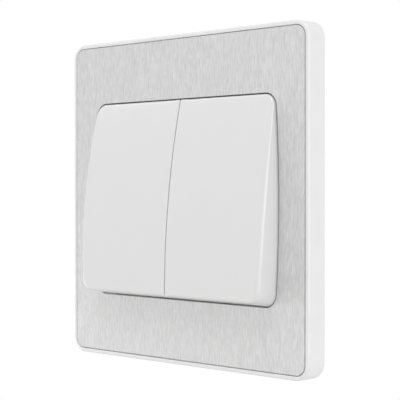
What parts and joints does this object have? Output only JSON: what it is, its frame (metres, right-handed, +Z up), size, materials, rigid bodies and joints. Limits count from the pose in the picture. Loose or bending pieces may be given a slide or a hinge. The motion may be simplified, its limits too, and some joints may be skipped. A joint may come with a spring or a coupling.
{
  "type": "two-gang rocker light switch",
  "caption": "Square wall switch with two wide white rockers side by side in a brushed steel front with a thin white surround.",
  "frame": {"origin": "on the wall plane, midway between the two fixing holes", "axes": "+Z up the wall, +Y into the wall, +X to the right as seen from the room; the front faces -Y"},
  "size_m": [0.095, 0.0321, 0.095],
  "materials": {
    "brushed_steel": "fine vertical brushing",
    "surround_white": "gloss",
    "rocker_white": "gloss",
    "galvanised_steel": "galvanised",
    "case_white": "moulded satin",
    "dolly_plastic": "moulded satin",
    "plunger_nylon": "satin",
    "spring_steel": "drawn wire and strip",
    "contact_brass": "rolled",
    "silver_contact": "polished",
    "terminal_brass": "machined",
    "zinc_steel": "zinc plated"
  },
  "bodies": {
    "fixed_case": {"steel_front_plate": "brushed_steel", "surround_frame": "surround_white", "mounting_plate": "galvanised_steel", "mechanism_cover": "case_white", "mechanism_base": "case_white", "fixed_contact_tips": "silver_contact", "terminal_screws": "zinc_steel", "earth_terminal": "terminal_brass", "earth_screw": "zinc_steel", "earth_spring": "spring_steel", "right_l1_terminal": "terminal_brass", "right_l2_terminal": "terminal_brass", "right_com_terminal": "terminal_brass", "left_l1_terminal": "terminal_brass", "left_l2_terminal": "terminal_brass", "left_com_terminal": "terminal_brass"},
    "right_rocker_body": {"right_rocker": "rocker_white", "right_dolly": "dolly_plastic", "right_spring": "spring_steel"},
    "right_plunger_body": {"right_plunger": "plunger_nylon"},
    "right_blade_body": {"right_contact_blade": "contact_brass", "right_blade_tips": "silver_contact"},
    "left_rocker_body": {"left_rocker": "rocker_white", "left_dolly": "dolly_plastic", "left_spring": "spring_steel"},
    "left_plunger_body": {"left_plunger": "plunger_nylon"},
    "left_blade_body": {"left_contact_blade": "contact_brass", "left_blade_tips": "silver_contact"}
  },
  "joints": [
    {"name": "right_rocker_tilt", "type": "hinge", "parent": "fixed_case", "child": "right_rocker_body", "pos_m": [0.013, -0.0042, 0], "axis": [1, 0, 0], "range_deg": [0, 13.1]},
    {"name": "right_plunger_slide", "type": "slide", "parent": "right_rocker_body", "child": "right_plunger_body", "axis": [0, -0.9935, 0.1141], "range_m": [0, 0.0006], "stiffness_N_per_m": 300, "springref_m": -0.003, "deforming": ["right_spring"]},
    {"name": "right_blade_rock", "type": "hinge", "parent": "fixed_case", "child": "right_blade_body", "pos_m": [0.013, 0.0083, 0], "axis": [1, 0, 0], "range_deg": [-9, 0]},
    {"name": "left_rocker_tilt", "type": "hinge", "parent": "fixed_case", "child": "left_rocker_body", "pos_m": [-0.013, -0.0042, 0], "axis": [1, 0, 0], "range_deg": [0, 13.1]},
    {"name": "left_plunger_slide", "type": "slide", "parent": "left_rocker_body", "child": "left_plunger_body", "axis": [0, -0.9935, 0.1141], "range_m": [0, 0.0006], "stiffness_N_per_m": 300, "springref_m": -0.003, "deforming": ["left_spring"]},
    {"name": "left_blade_rock", "type": "hinge", "parent": "fixed_case", "child": "left_blade_body", "pos_m": [-0.013, 0.0083, 0], "axis": [1, 0, 0], "range_deg": [-9, 0]}
  ],
  "couplings": [
    {"joint": "right_blade_rock", "follows": "right_rocker_tilt", "ratio": -0.687},
    {"joint": "left_blade_rock", "follows": "left_rocker_tilt", "ratio": -0.687}
  ]
}
